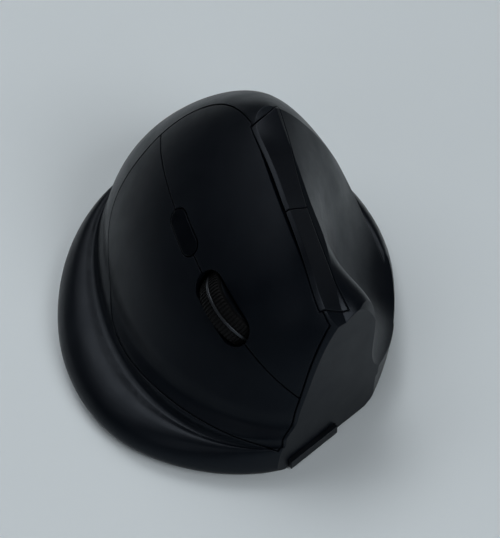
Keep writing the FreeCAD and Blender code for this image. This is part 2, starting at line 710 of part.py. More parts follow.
def make_dpi():
    x = size("dpi_x")
    y = size("split_y")
    tact_top = -size("board_depth") + size("tact_height") + size("tact_button")
    cap = placed(stadium(size("dpi_length"), size("dpi_width"), -9.0, 6.0), on_face(x, y, 0))
    cap = cap.common(egg(-size("dpi_proud"), -1.2 * size("dpi_proud")))
    flange = placed(stadium(size("dpi_length") + 1.6, size("dpi_width") + 1.6, -9.8, -9.0), on_face(x, y, 0))
    stem_bottom = tact_top + 0.4
    stem = placed(Part.makeCylinder(1.7, -9.5 - stem_bottom, Vector(x, y, stem_bottom)), FACE)
    keep("dpi_button", cap.fuse(flange).fuse(stem))
    board = -size("board_depth")
    outer_half = size("tact_side") / 2 + 1.5
    inner_half = size("tact_side") / 2 + 0.3
    tower = box_shape(Vector(x - outer_half, y - outer_half, board), Vector(x + outer_half, y + outer_half, -11.0))
    room = box_shape(Vector(x - inner_half, y - inner_half, board), Vector(x + inner_half, y + inner_half, -13.0))
    bore = Part.makeCylinder(1.7 + 0.1, 20, Vector(x, y, -20))
    keep("dpi_guide", placed(tower.cut(room).cut(bore), FACE))


# Base plate, its feet, and what stands on it

def foot_places():
    """Each foot: its place, its turn about Z and its length."""
    return (
        (6.0, 47.3, 0.0, size("short_foot_length")),
        (-30.5, -26.0, -53.0, size("foot_length")),
        (34.4, -8.0, 75.0, size("short_foot_length")),
        (3.4, -44.2, 28.5, size("short_foot_length")),
    )


def foot_shape(grow, low, high):
    pads = []
    for x, y, turn, length in foot_places():
        pad = stadium(length + 2 * grow, size("foot_width") + 2 * grow, low, high)
        pads.append(placed(pad, at(x, y, 0, Rotation(UP, turn))))
    return pads


def battery_box():
    """The inside of the battery's cell, and its end faces along Y."""
    half = size("battery_radius") + size("door_gap")
    front = size("battery_front") - size("nub_length") - 0.4
    rear = size("battery_front") + size("battery_length") + 2.5
    return size("battery_x") - half, size("battery_x") + half, front, rear


def door_edges(grow):
    half = size("battery_radius")
    return (
        size("battery_x") - half - grow,
        size("battery_x") + half + grow,
        size("battery_front") - grow,
        size("battery_front") + size("battery_length") + 1.5 + grow,
    )


def make_base():
    bottom = size("plate_bottom")
    top = plate_top()
    plate = outline_face(bottom, WALL + size("plate_gap")).extrude(Vector(0, 0, size("plate_thickness")))
    plate = plate.cut(nose_block(-WALL - size("plate_gap")))
    plate = plate.fuse(lip_block(0.0, bottom, bottom + size("lip_height")))
    left, right, front, rear = battery_box()
    wall = size("cell_wall")
    cell_top = size("battery_height") + 1.0
    cell_low = top - 0.5
    outer_box = box_shape(Vector(left - wall, front - wall, cell_low), Vector(right + wall, rear + wall, cell_top))
    inner_box = box_shape(Vector(left, front, cell_low - 1), Vector(right, rear, cell_top + 1))
    plate = plate.fuse(outer_box.cut(inner_box))
    half_x = size("receiver_length") / 2 + size("receiver_gap")
    half_y = size("receiver_width") / 2 + size("receiver_gap")
    bay_wall = size("bay_wall")
    bay_x = size("receiver_x")
    bay_y = size("receiver_y")
    bay_top = bottom + 0.2 + size("receiver_cap") + size("plug_reach") + 0.6
    bay = box_shape(
        Vector(bay_x - half_x - bay_wall, bay_y - half_y - bay_wall, top - 0.5),
        Vector(bay_x + half_x + bay_wall, bay_y + half_y + bay_wall, bay_top + bay_wall),
    )
    plate = plate.fuse(bay)
    for x, y in POST_SPOTS:
        plate = plate.fuse(Part.makeCylinder(POST_RADIUS, size("main_board_bottom") - bottom, Vector(x, y, bottom)))
    plate = plate.cut(box_shape(
        Vector(bay_x - half_x, bay_y - half_y, bottom - 1),
        Vector(bay_x + half_x, bay_y + half_y, bay_top),
    ))
    door_left, door_right, door_front, door_rear = door_edges(size("door_gap"))
    plate = plate.cut(box_shape(Vector(door_left, door_front, bottom - 1), Vector(door_right, door_rear, top + 1)))
    plate = plate.cut(hinge_line(size("pin_radius") + size("running_fit"), size("pin_reach") + 0.2))
    hole = Part.makeCylinder(size("sensor_hole") / 2, 5, Vector(size("sensor_x"), size("sensor_y"), 0))
    plate = plate.cut(hole)
    track = stadium(3.0 + size("slide_travel") + 0.6, 2.6, bottom - 1, top + 1)
    plate = plate.cut(placed(track, at(size("slide_x") + size("slide_travel") / 2, size("slide_y"), 0)))
    for pad in foot_shape(0.15, bottom - 1, bottom + size("foot_recess")):
        plate = plate.cut(pad)
    for x, y in screw_spots():
        plate = plate.cut(pilot(x, y, top + 1))
        plate = plate.cut(Part.makeCylinder(size("screw_head_radius") + 0.15, 1.0 + bottom, Vector(x, y, 0)))
    for x, y in POST_SPOTS:
        plate = plate.cut(Part.makeCylinder(size("screw_radius") + size("screw_fit"), 10, Vector(x, y, 3.4)))
    keep("base_plate", plate)
    keep("glide_feet", Part.makeCompound(foot_shape(0.0, 0.0, size("foot_thickness"))))


POST_SPOTS = [(-23.0, -19.0), (-23.0, 22.0), (-0.5, -19.5)]
POST_RADIUS = 2.0


def fastener(x, y, head_low, up, length):
    """A small screw whose head starts at head_low and whose shank points up or down."""
    sign = 1 if up else -1
    head = Part.makeCylinder(size("screw_head_radius"), 1.0, Vector(x, y, head_low), Vector(0, 0, sign))
    shank = Part.makeCylinder(size("screw_radius"), length, Vector(x, y, head_low + sign), Vector(0, 0, sign))
    driver = Part.makeCylinder(0.9, 0.6, Vector(x, y, head_low), Vector(0, 0, sign))
    return head.fuse(shank).cut(driver)


def make_fasteners():
    head_low = size("plate_bottom")
    keep("case_screws", Part.makeCompound([fastener(x, y, head_low, True, 4.6) for x, y in screw_spots()]))
    board_top = size("main_board_bottom") + size("main_board_thickness")
    keep("board_screws", Part.makeCompound([fastener(x, y, board_top + 1.0, False, 3.6) for x, y in POST_SPOTS]))


def make_battery():
    place = at(
        size("battery_x"), size("battery_front") - size("nub_length"), size("battery_height"),
        Rotation(Vector(1, 0, 0), -90),
    )
    body = [
        ("0", "0"), ("nub_radius", "0"), ("nub_radius", "nub_length"), ("battery_radius", "nub_length"),
        ("battery_radius", "battery_length"), ("0", "battery_length"),
    ]
    revolved("battery", body, place)
    left, right, front, rear = battery_box()
    height = size("battery_height")
    keep("plus_contact", box_shape(Vector(left + 2, front, height - 5), Vector(right - 2, front + 0.4, height + 5)))
    touch = size("battery_front") - size("nub_length") + size("battery_length")
    plate = box_shape(Vector(left + 2, rear - 0.4, height - 5), Vector(right - 2, rear, height + 5))
    cone = Part.makeCone(1.6, 4.2, rear - 0.2 - touch, Vector(size("battery_x"), touch, height), Vector(0, 1, 0))
    keep("minus_contact", plate.fuse(cone))


def hinge_line(radius, reach):
    """A rod on the door's hinge line that reaches past both sides of the door."""
    left, right, front, rear = door_edges(0.0)
    half = size("plate_thickness") / 2
    start = Vector(left - reach, rear - half, size("plate_bottom") + half)
    return Part.makeCylinder(radius, right - left + 2 * reach, start, Vector(1, 0, 0))


def make_door():
    left, right, front, rear = door_edges(0.0)
    bottom = size("plate_bottom")
    half = size("plate_thickness") / 2
    door = box_shape(Vector(left, front, bottom), Vector(right, rear - half, plate_top()))
    door = door.fuse(hinge_line(half, 0.0)).fuse(hinge_line(size("pin_radius"), size("pin_reach")))
    notch = Part.makeCylinder(4.0, 1.2, Vector(size("battery_x"), front, bottom - 0.4))
    door = door.cut(notch)
    for step in range(3):
        groove = box_shape(
            Vector(left + 3, front + 7 + 2 * step, bottom - 1), Vector(right - 3, front + 7.8 + 2 * step, bottom + 0.4)
        )
        door = door.cut(groove)
    keep("battery_door", door)


def make_receiver():
    x = size("receiver_x")
    y = size("receiver_y")
    low = size("plate_bottom") + 0.2
    cap = Part.makeBox(size("receiver_length"), size("receiver_width"), size("receiver_cap"))
    cap = cap.makeFillet(1.0, [edge for edge in cap.Edges if abs(edge.Vertexes[0].Z - edge.Vertexes[1].Z) > 1])
    cap.translate(Vector(x - size("receiver_length") / 2, y - size("receiver_width") / 2, low))
    plug = Part.makeBox(size("plug_length"), size("plug_width"), size("plug_reach") + 1)
    plug.translate(Vector(x - size("plug_length") / 2, y - size("plug_width") / 2, low + size("receiver_cap") - 1))
    keep("usb_receiver", cap.fuse(plug))


def make_main_board():
    low = Vector(size("main_board_left"), size("main_board_front"), size("main_board_bottom"))
    high = Vector(size("main_board_right"), size("main_board_back"), low.z + size("main_board_thickness"))
    board = box_shape(low, high)
    for x, y in LEG_SPOTS:
        board = board.cut(Part.makeCylinder(size("leg_radius") + 0.4, 20, Vector(x, y, 0)))
    for x, y in POST_SPOTS:
        board = board.cut(Part.makeCylinder(size("screw_radius") + 0.2, 20, Vector(x, y, 0)))
    keep("main_board", board)
    chip = block("controller_chip", "7", "7", "1", at(-18.0, 6.0, high.z))
    chip.Label = "controller_chip"
    under = size("main_board_bottom")
    half_x = size("sensor_length") / 2
    half_y = size("sensor_width") / 2
    x = size("sensor_x")
    y = size("sensor_y")
    lens_top = plate_top() + 0.7
    keep("motion_sensor", box_shape(Vector(x - half_x, y - half_y, lens_top), Vector(x + half_x, y + half_y, under)))
    lens = box_shape(Vector(x - half_x - 1, y - half_y - 1, plate_top()), Vector(x + half_x + 1, y + half_y + 1, lens_top))
    snout = Part.makeCylinder(size("sensor_hole") / 2 - 0.3, 1.6, Vector(x, y, plate_top() - 1.4))
    keep("sensor_lens", lens.fuse(snout))


def make_power_switch():
    x = size("slide_x")
    y = size("slide_y")
    travel = size("slide_travel")
    low = plate_top() + 0.2
    case = box_shape(Vector(x - 3.4, y - 2.2, low), Vector(x + 3.4 + travel, y + 2.2, size("main_board_bottom")))
    track = box_shape(Vector(x - 1.8, y - 1.2, low - 1), Vector(x + 1.8 + travel, y + 1.2, low + 1.4))
    keep("power_switch_case", case.cut(track))
    knob = box_shape(Vector(x - 1.5, y - 0.9, size("plate_bottom") + 0.3), Vector(x + 1.5, y + 0.9, low + 1.2))
    keep("power_switch_knob", knob)


NODES = (
    "main_shell", "index_button", "middle_button", "forward_button", "back_button", "wheel_hub", "wheel_tyre",
    "wheel_post", "wheel_encoder", "inner_frame", "hinge_rod", "button_board", "index_switch", "middle_switch",
    "dpi_switch", "forward_switch", "back_switch", "side_board", "dpi_button", "dpi_guide", "base_plate",
    "glide_feet", "case_screws", "board_screws", "battery", "plus_contact", "minus_contact", "battery_door",
    "usb_receiver", "main_board", "controller_chip", "motion_sensor", "sensor_lens", "power_switch_case",
    "power_switch_knob",
)


def build():
    make_shells()
    make_wheel()
    make_wheel_carriers()
    make_frame()
    make_button_board()
    make_switches()
    make_dpi()
    make_base()
    make_fasteners()
    make_battery()
    make_door()
    make_receiver()
    make_main_board()
    make_power_switch()
    doc.recompute()


def check_and_write():
    for item in doc.Objects:
        if "Invalid" in item.State or "Error" in item.State:
            raise RuntimeError("%s is %s" % (item.Label, item.State))
    for name in NODES:
        shape = doc.getObject(name).Shape
        if shape.isNull() or not shape.isValid():
            raise RuntimeError("%s has no valid shape" % name)
    os.makedirs("parts", exist_ok=True)
    for name in NODES:
        shape = doc.getObject(name).Shape
        shape.exportStep(os.path.join("parts", name + ".step"))
        box = shape.BoundBox
        print("%-18s solids %d volume %8.1f  x %.1f..%.1f y %.1f..%.1f z %.1f..%.1f" % (
            name, len(shape.Solids), shape.Volume, box.XMin, box.XMax, box.YMin, box.YMax, box.ZMin, box.ZMax))


build()
check_and_write()
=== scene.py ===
# %% [markdown]
# # An upright mouse, from bare solids to a picture
#
# The mouse stands on a desk and is held like in a handshake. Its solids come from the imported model,
# and this lesson gives them their finishes, a ribbed tyre, small parts, a desk, lamps and a camera.
# Everything is in metres, +Z is up, the nose points to -Y and the finger keys face -X. Small lengths
# are easier to read in millimetres, so they are written like that and multiplied by MM.

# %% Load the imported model
import json
import math
import bpy
import bmesh
from mathutils import Matrix, Vector


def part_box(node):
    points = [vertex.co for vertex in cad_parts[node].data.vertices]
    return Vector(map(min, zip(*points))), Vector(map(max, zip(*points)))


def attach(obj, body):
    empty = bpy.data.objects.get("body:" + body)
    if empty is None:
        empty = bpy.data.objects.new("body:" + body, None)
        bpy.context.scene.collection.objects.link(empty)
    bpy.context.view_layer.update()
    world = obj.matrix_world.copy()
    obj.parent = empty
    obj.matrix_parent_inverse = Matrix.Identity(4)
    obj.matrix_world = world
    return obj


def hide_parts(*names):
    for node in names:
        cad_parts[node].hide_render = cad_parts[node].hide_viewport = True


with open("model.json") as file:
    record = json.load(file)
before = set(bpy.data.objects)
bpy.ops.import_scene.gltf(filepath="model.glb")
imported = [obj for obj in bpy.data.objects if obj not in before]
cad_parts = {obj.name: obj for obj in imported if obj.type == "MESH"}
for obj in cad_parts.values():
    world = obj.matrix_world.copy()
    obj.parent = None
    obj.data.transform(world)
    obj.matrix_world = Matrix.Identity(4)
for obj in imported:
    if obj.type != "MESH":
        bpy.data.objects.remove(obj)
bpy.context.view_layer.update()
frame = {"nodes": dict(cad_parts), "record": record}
MM = 0.001
print("solids:", len(frame["nodes"]))

# %% [markdown]
# ## Where the finger face lies
#
# The two long keys, the wheel and the small key between them share one sloped face. It is easiest
# to work in the directions of that face: along it towards the nose, up it towards the ridge, and
# straight out of it. Three turns and one corner give a matrix that carries a place on the face to
# its place on the desk.

# %% The sloped face as a matrix
FACE_CORNER = Vector((-9.5, -29.8, 37.3)) * MM
FACE_AZIMUTH = math.radians(208.5)
FACE_ELEVATION = math.radians(37.5)
FACE_SPIN = math.radians(-22.3)
WHEEL_ON_FACE = Vector((0.0, -0.8, -8.4)) * MM


def sloped_face():
    out = Vector((
        math.cos(FACE_AZIMUTH) * math.cos(FACE_ELEVATION),
        math.sin(FACE_AZIMUTH) * math.cos(FACE_ELEVATION),
        math.sin(FACE_ELEVATION),
    ))
    level = Vector((-math.sin(FACE_AZIMUTH), math.cos(FACE_AZIMUTH), 0.0))
    rise = out.cross(level)
    along = level * math.cos(FACE_SPIN) + rise * math.sin(FACE_SPIN)
    across = out.cross(along)
    turn = Matrix((along, across, out)).transposed().to_4x4()
    return Matrix.Translation(FACE_CORNER) @ turn


FACE = sloped_face()
WHEEL_MIDDLE = FACE @ WHEEL_ON_FACE
print("wheel middle at", [round(c / MM, 2) for c in WHEEL_MIDDLE], "mm")

# %% [markdown]
# ## Finishes
#
# A finish is a small network of nodes. Patterns read Object coordinates, which are metres here, so a
# noise with a scale of 5000 has grains about 0.2 mm wide. Small helpers keep the networks short. One
# adds a noise, whose values lie mostly between 0.3 and 0.7. Others turn such values into another
# range of numbers, a colour or relief, and the rest mix colours, do sums or round the edges.

# %% Helpers for the finishes
MOST_OF_NOISE = (0.3, 0.7)


def new_finish(name):
    finish = bpy.data.materials.new(name)
    finish.use_nodes = True
    return finish, finish.node_tree, finish.node_tree.nodes["Principled BSDF"]


def places(tree):
    return tree.nodes.new("ShaderNodeTexCoord").outputs["Object"]


def noise(tree, scale, detail=2.0, rough=0.5, stretch=None):
    node = tree.nodes.new("ShaderNodeTexNoise")
    node.inputs["Scale"].default_value = scale
    node.inputs["Detail"].default_value = detail
    node.inputs["Roughness"].default_value = rough
    where = places(tree)
    if stretch:
        mapping = tree.nodes.new("ShaderNodeMapping")
        mapping.inputs["Scale"].default_value = stretch
        tree.links.new(where, mapping.inputs["Vector"])
        where = mapping.outputs["Vector"]
    tree.links.new(where, node.inputs["Vector"])
    return node.outputs["Fac"]


def spread(tree, source, given, wanted):
    """Carries the numbers of one range over to another one."""
    node = tree.nodes.new("ShaderNodeMapRange")
    for end, value in zip(("From Min", "From Max", "To Min", "To Max"), (*given, *wanted)):
        node.inputs[end].default_value = value
    tree.links.new(source, node.inputs["Value"])
    return node.outputs["Result"]


def tint(tree, source, stops):
    node = tree.nodes.new("ShaderNodeValToRGB")
    ramp = node.color_ramp
    while len(ramp.elements) < len(stops):
        ramp.elements.new(0.5)
    for element, (place, colour) in zip(ramp.elements, stops):
        element.position = place
        element.color = (*colour, 1.0)
    tree.links.new(source, node.inputs["Fac"])
    return node.outputs["Color"]


def two_tones(tree, source, dark, pale, given=MOST_OF_NOISE):
    return tint(tree, source, [(given[0], dark), (given[1], pale)])


def several(colour, share):
    """The same colour, darker or paler."""
    return tuple(min(1.0, c * share) for c in colour)


# %% More helpers for the finishes
def blend_colours(tree, share, one, other):
    node = tree.nodes.new("ShaderNodeMix")
    node.data_type = "RGBA"
    tree.links.new(share, node.inputs["Factor"])
    tree.links.new(one, node.inputs["A"])
    tree.links.new(other, node.inputs["B"])
    return node.outputs["Result"]


def arithmetic(tree, operation, one, other):
    """A sum whose two sides are numbers or sockets."""
    node = tree.nodes.new("ShaderNodeMath")
    node.operation = operation
    for socket, value in zip(node.inputs, (one, other)):
        if isinstance(value, float):
            socket.default_value = value
        else:
            tree.links.new(value, socket)
    return node.outputs["Value"]


def relief(tree, source, depth, strength=1.0, under=None):
    node = tree.nodes.new("ShaderNodeBump")
    node.inputs["Distance"].default_value = depth
    node.inputs["Strength"].default_value = strength
    tree.links.new(source, node.inputs["Height"])
    if under:
        tree.links.new(under, node.inputs["Normal"])
    return node.outputs["Normal"]


def soft_edge(tree, radius):
    node = tree.nodes.new("ShaderNodeBevel")
    node.samples = 6
    node.inputs["Radius"].default_value = radius
    return node.outputs["Normal"]


# %% [markdown]
# ### Moulded plastic
#
# The shell and the keys are black plastic from a tool whose steel was eroded by sparks, which leaves a
# fine even grain. Three layers make it: a slow drift of tone, a few pale specks of dust, and the grain
# as relief. The roughness drifts a little as well, as it does where hands have polished the surface.
# The edges are rounded in the shading by 0.3 mm, because a moulded edge is never knife sharp. The
# blacks of the real mouse are bluish, so the colours and the tint of the reflections are as well.

# %% Moulded plastic
REFLECTION_TINT = (0.74, 0.85, 1.0, 1.0)
SPECK_RANGE = (0.70, 0.80)


def moulded(name, colour, rough, gloss=0.3, grain=5200.0, depth=0.03 * MM, edge=0.3 * MM, dust=0.35):
    finish, tree, shader = new_finish(name)
    shader.inputs["Specular IOR Level"].default_value = gloss
    shader.inputs["Specular Tint"].default_value = REFLECTION_TINT
    slow = noise(tree, scale=70.0, detail=3.0)
    body = two_tones(tree, slow, several(colour, 0.88), several(colour, 1.12))
    specks = noise(tree, scale=2600.0, detail=1.0)
    pale = two_tones(tree, specks, several(colour, 3.0), several(colour, 4.5), given=(0.0, 1.0))
    share = spread(tree, specks, SPECK_RANGE, (0.0, dust))
    tree.links.new(blend_colours(tree, share, body, pale), shader.inputs["Base Color"])
    worn = noise(tree, scale=140.0, detail=4.0, rough=0.6)
    polish = spread(tree, worn, MOST_OF_NOISE, (rough - 0.05, rough + 0.06))
    tree.links.new(polish, shader.inputs["Roughness"])
    grained = relief(tree, noise(tree, grain), depth, strength=0.6, under=soft_edge(tree, edge))
    tree.links.new(grained, shader.inputs["Normal"])
    return finish


SHELL_BLACK = moulded("shell_black", (0.0016, 0.0026, 0.0046), 0.36, gloss=0.18)
KEY_BLACK = moulded("key_black", (0.0014, 0.0023, 0.0042), 0.40, gloss=0.13, grain=4600.0)
TRIM_BLACK = moulded(
    "trim_black", (0.0042, 0.0052, 0.0074), 0.34, gloss=0.22, grain=7000.0, depth=0.01 * MM)
SPLIT_KEY_BLACK = moulded(
    "split_key_black", (0.0010, 0.0016, 0.0028), 0.28, gloss=0.08, grain=7000.0, depth=0.01 * MM)
BASE_BLACK = moulded(
    "base_black", (0.0052, 0.0063, 0.0084), 0.44, gloss=0.2, grain=3600.0, depth=0.04 * MM, edge=0.15 * MM)
FRAME_GREY = moulded("frame_grey", (0.030, 0.031, 0.034), 0.5, grain=3000.0, dust=0.1)
SATIN_GREY = moulded(
    "satin_grey", (0.014, 0.015, 0.017), 0.32, gloss=0.4, grain=8000.0, depth=0.006 * MM, edge=0.1 * MM)
MOULDED = (SHELL_BLACK, KEY_BLACK, TRIM_BLACK, SPLIT_KEY_BLACK, BASE_BLACK, FRAME_GREY, SATIN_GREY)
print("moulded:", ", ".join(finish.name for finish in MOULDED))

# %% [markdown]
# ### Rubber, slick pads and clear plastic
#
# The tyre is a soft rubber: dull, with a fine bloom that is paler in places. The glide pads are a slick
# waxy plastic with faint scratches from the desk. The lens is clear.

# %% Rubber, pads and lens
def rubber(name):
    finish, tree, shader = new_finish(name)
    bloom = noise(tree, scale=420.0, detail=5.0, rough=0.6)
    skin = two_tones(tree, bloom, (0.0016, 0.0018, 0.0022), (0.0040, 0.0042, 0.0048), given=(0.35, 0.75))
    tree.links.new(skin, shader.inputs["Base Color"])
    tree.links.new(spread(tree, bloom, MOST_OF_NOISE, (0.55, 0.72)), shader.inputs["Roughness"])
    shader.inputs["Specular IOR Level"].default_value = 0.10
    pores = relief(tree, noise(tree, scale=6000.0, detail=3.0), depth=0.02 * MM, strength=0.8)
    tree.links.new(pores, shader.inputs["Normal"])
    return finish


def slick_pad(name):
    finish, tree, shader = new_finish(name)
    haze = noise(tree, scale=260.0, detail=3.0)
    wax = two_tones(tree, haze, (0.050, 0.051, 0.054), (0.082, 0.083, 0.088), given=(0.3, 0.8))
    tree.links.new(wax, shader.inputs["Base Color"])
    scratches = noise(tree, scale=900.0, stretch=(1.0, 14.0, 1.0))
    tree.links.new(spread(tree, scratches, (0.4, 0.7), (0.24, 0.42)), shader.inputs["Roughness"])
    scored = relief(tree, scratches, depth=0.01 * MM, strength=0.5, under=soft_edge(tree, 0.3 * MM))
    tree.links.new(scored, shader.inputs["Normal"])
    return finish


def clear_plastic(name):
    finish, tree, shader = new_finish(name)
    cloud = noise(tree, scale=500.0)
    faint = two_tones(tree, cloud, (0.80, 0.86, 0.90), (0.90, 0.94, 0.96))
    tree.links.new(faint, shader.inputs["Base Color"])
    shader.inputs["Transmission Weight"].default_value = 0.85
    shader.inputs["IOR"].default_value = 1.49
    tree.links.new(spread(tree, cloud, MOST_OF_NOISE, (0.04, 0.10)), shader.inputs["Roughness"])
    return finish


TYRE_RUBBER = rubber("tyre_rubber")
GLIDE_PAD = slick_pad("glide_pad")
LENS_CLEAR = clear_plastic("lens_clear")
print("soft, slick and clear:", TYRE_RUBBER.name, GLIDE_PAD.name, LENS_CLEAR.name)

# %% [markdown]
# ### Metals
#
# Screws and the hinge rod are turned steel with fine lines across their length, the battery springs are
# bright nickel, and the strips of the receiver's plug are gilded. Lines come from a noise that is
# squeezed along one direction.

# %% Metals
def drawn_metal(name, colour, rough, stretch):
    finish, tree, shader = new_finish(name)
    lines = noise(tree, scale=1500.0, detail=4.0, rough=0.6, stretch=stretch)
    streaks = two_tones(tree, lines, several(colour, 0.85), several(colour, 1.08))
    tree.links.new(streaks, shader.inputs["Base Color"])
    shader.inputs["Metallic"].default_value = 1.0
    tree.links.new(spread(tree, lines, MOST_OF_NOISE, (rough, rough + 0.12)), shader.inputs["Roughness"])
    scored = relief(tree, lines, depth=0.008 * MM, strength=0.6, under=soft_edge(tree, 0.1 * MM))
    tree.links.new(scored, shader.inputs["Normal"])
    return finish


TURNED_STEEL = drawn_metal("turned_steel", (0.58, 0.58, 0.60), 0.24, (1.0, 1.0, 9.0))
SPRING_NICKEL = drawn_metal("spring_nickel", (0.70, 0.70, 0.69), 0.14, (1.0, 1.0, 3.0))
GILDED = drawn_metal("gilded", (0.83, 0.60, 0.26), 0.18, (1.0, 1.0, 3.0))
print("metals:", TURNED_STEEL.name, SPRING_NICKEL.name, GILDED.name)

# %% [markdown]
# ### Boards and chips
#
# A circuit board is glass cloth under a green varnish, with copper tracks that show as a paler green.
# The cells of a brick pattern, with mortar lines left as tracks, give a believable net of them. Chips
# and switch cases are dull black plastic with a slight grain.

# %% Boards and chips
def circuit_board(name):
    finish, tree, shader = new_finish(name)
    tracks = tree.nodes.new("ShaderNodeTexBrick")
    tracks.inputs["Scale"].default_value = 260.0
    tracks.inputs["Mortar Size"].default_value = 0.035
    tracks.inputs["Color1"].default_value = (0.012, 0.085, 0.040, 1.0)
    tracks.inputs["Color2"].default_value = (0.016, 0.105, 0.050, 1.0)
    tracks.inputs["Mortar"].default_value = (0.040, 0.200, 0.095, 1.0)
    tree.links.new(places(tree), tracks.inputs["Vector"])
    tree.links.new(tracks.outputs["Color"], shader.inputs["Base Color"])
    weave = noise(tree, scale=3000.0)
    tree.links.new(spread(tree, weave, MOST_OF_NOISE, (0.28, 0.40)), shader.inputs["Roughness"])
    raised = relief(tree, tracks.outputs["Fac"], depth=0.03 * MM, strength=0.8)
    woven = relief(tree, weave, depth=0.01 * MM, strength=0.4, under=raised)
    tree.links.new(woven, shader.inputs["Normal"])
    return finish


BOARD_GREEN = circuit_board("board_green")
CHIP_BLACK = moulded("chip_black", (0.014, 0.014, 0.016), 0.42, grain=4000.0, edge=0.1 * MM, dust=0.2)
SWITCH_BLACK = moulded("switch_black", (0.022, 0.022, 0.025), 0.38, grain=6000.0, edge=0.15 * MM, dust=0.1)
print("boards and chips:", BOARD_GREEN.name, CHIP_BLACK.name, SWITCH_BLACK.name)

# %% [markdown]
# ### The cell's sleeve
#
# The cell wears a printed plastic sleeve: dark grey with a band of brushed copper colour at the plus end,
# and bare steel at both ends. The place along the cell decides which colour shows. It is read from one
# Object coordinate, and the colour ramp jumps from band to band instead of blending them.

# %% The cell's sleeve
CELL_BANDS = [
    (0.0, (0.55, 0.55, 0.56)), (0.018, (0.030, 0.031, 0.036)),
    (0.70, (0.42, 0.20, 0.085)), (0.975, (0.60, 0.60, 0.60)),
]


def cell_sleeve(name, minus_end, plus_end):
    finish, tree, shader = new_finish(name)
    split = tree.nodes.new("ShaderNodeSeparateXYZ")
    tree.links.new(places(tree), split.inputs["Vector"])
    bands = tint(tree, spread(tree, split.outputs["Y"], (minus_end, plus_end), (0.0, 1.0)), CELL_BANDS)
    bands.node.color_ramp.interpolation = "CONSTANT"
    tree.links.new(bands, shader.inputs["Base Color"])
    shader.inputs["Metallic"].default_value = 0.75
    brushed = noise(tree, scale=700.0, detail=3.0, stretch=(6.0, 1.0, 6.0))
    tree.links.new(spread(tree, brushed, MOST_OF_NOISE, (0.26, 0.38)), shader.inputs["Roughness"])
    scored = relief(tree, brushed, depth=0.01 * MM, strength=0.5, under=soft_edge(tree, 0.3 * MM))
    tree.links.new(scored, shader.inputs["Normal"])
    return finish


cell_low, cell_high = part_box("battery")
CELL_SLEEVE = cell_sleeve("cell_sleeve", cell_low[1], cell_high[1])
print("cell is", round((cell_high[1] - cell_low[1]) / MM, 1), "mm long")

# %% [markdown]
# ## Dress the solids
#
# Every solid already has a slot for its finish, and the record says which finish it takes. The
# solids are neither moved nor changed: only what fills the slot is new. The small key in the split
# between the long ones is darker and smoother than the other trim, so it is dressed once more.

# %% Dress the solids
FINISHES = {
    "shell_plastic": SHELL_BLACK, "key_plastic": KEY_BLACK, "trim_plastic": TRIM_BLACK,
    "base_plastic": BASE_BLACK, "frame_plastic": FRAME_GREY, "tyre_rubber": TYRE_RUBBER,
    "glide_plastic": GLIDE_PAD, "steel": TURNED_STEEL, "spring_metal": SPRING_NICKEL,
    "board_green": BOARD_GREEN, "chip_black": CHIP_BLACK, "switch_plastic": SWITCH_BLACK,
    "lens_clear": LENS_CLEAR, "cell_jacket": CELL_SLEEVE, "receiver_plastic": SWITCH_BLACK,
}
for part in frame["record"]["subparts"]:
    for holder in frame["nodes"][part["node"]].material_slots:
        holder.material = FINISHES[part["material_slot"]]
for holder in frame["nodes"]["dpi_button"].material_slots:
    holder.material = SPLIT_KEY_BLACK

# %% [markdown]
# ## Small helpers for modelling
#
# New pieces are shaped with the same operators that the mouse and keyboard call up. An operator works
# on whatever is selected, so each piece starts with nothing selected and ends with its place written
# into its mesh.

# %% Helpers for selecting
def nothing_selected():
    bpy.ops.object.select_all(action="DESELECT")


def only(piece):
    """Selects one piece and nothing else."""
    nothing_selected()
    piece.select_set(True)
    bpy.context.view_layer.objects.active = piece


def to_edit_mode(kind="FACE"):
    bpy.ops.object.mode_set(mode="EDIT")
    bpy.ops.mesh.select_mode(type=kind)


def to_object_mode():
    bpy.ops.object.mode_set(mode="OBJECT")


def pick(piece, want):
    """In edit mode, selects the faces for which want(middle, normal) is true."""
    mesh = bmesh.from_edit_mesh(piece.data)
    for face in mesh.faces:
        face.select_set(bool(want(face.calc_center_median(), face.normal)))
    mesh.select_flush_mode()
    bmesh.update_edit_mesh(piece.data)
    return sum(face.select for face in mesh.faces)


def faces_up(middle, normal):
    return normal.z > 0.9


def faces_down(middle, normal):
    return normal.z < -0.9


# %% Helpers for shaping
def soften(piece, width, segments=2, angle=50.0):
    """Rounds the edges that are sharper than the angle, by a width in millimetres."""
    only(piece)
    ease = piece.modifiers.new("eased_edges", "BEVEL")
    ease.width = width * MM
    ease.segments = segments
    ease.angle_limit = math.radians(angle)
    bpy.ops.object.modifier_apply(modifier=ease.name)


def carve(piece, cutter):
    """Takes the cutter away from the piece. The cutter may overlap itself."""
    only(piece)
    taken = piece.modifiers.new("taken_away", "BOOLEAN")
    taken.object = cutter
    taken.operation = "DIFFERENCE"
    taken.use_self = True
    bpy.ops.object.modifier_apply(modifier=taken.name)
    bpy.data.objects.remove(cutter)


def block(name, low, high):
    """A box between two corners, in metres."""
    low, high = Vector(low), Vector(high)
    nothing_selected()
    bpy.ops.mesh.primitive_cube_add(size=1.0, location=(low + high) / 2)
    box = bpy.context.object
    box.name = name
    box.scale = high - low
    bpy.ops.object.transform_apply(location=True, rotation=True, scale=True)
    return box


def disc(name, sides, radius, height):
    """A low cylinder that stands on the desk, in millimetres."""
    nothing_selected()
    bpy.ops.mesh.primitive_cylinder_add(
        vertices=sides, radius=radius * MM, depth=height * MM, location=(0, 0, height / 2 * MM))
    start = bpy.context.object
    start.name = name
    bpy.ops.object.transform_apply(location=True)
    return start


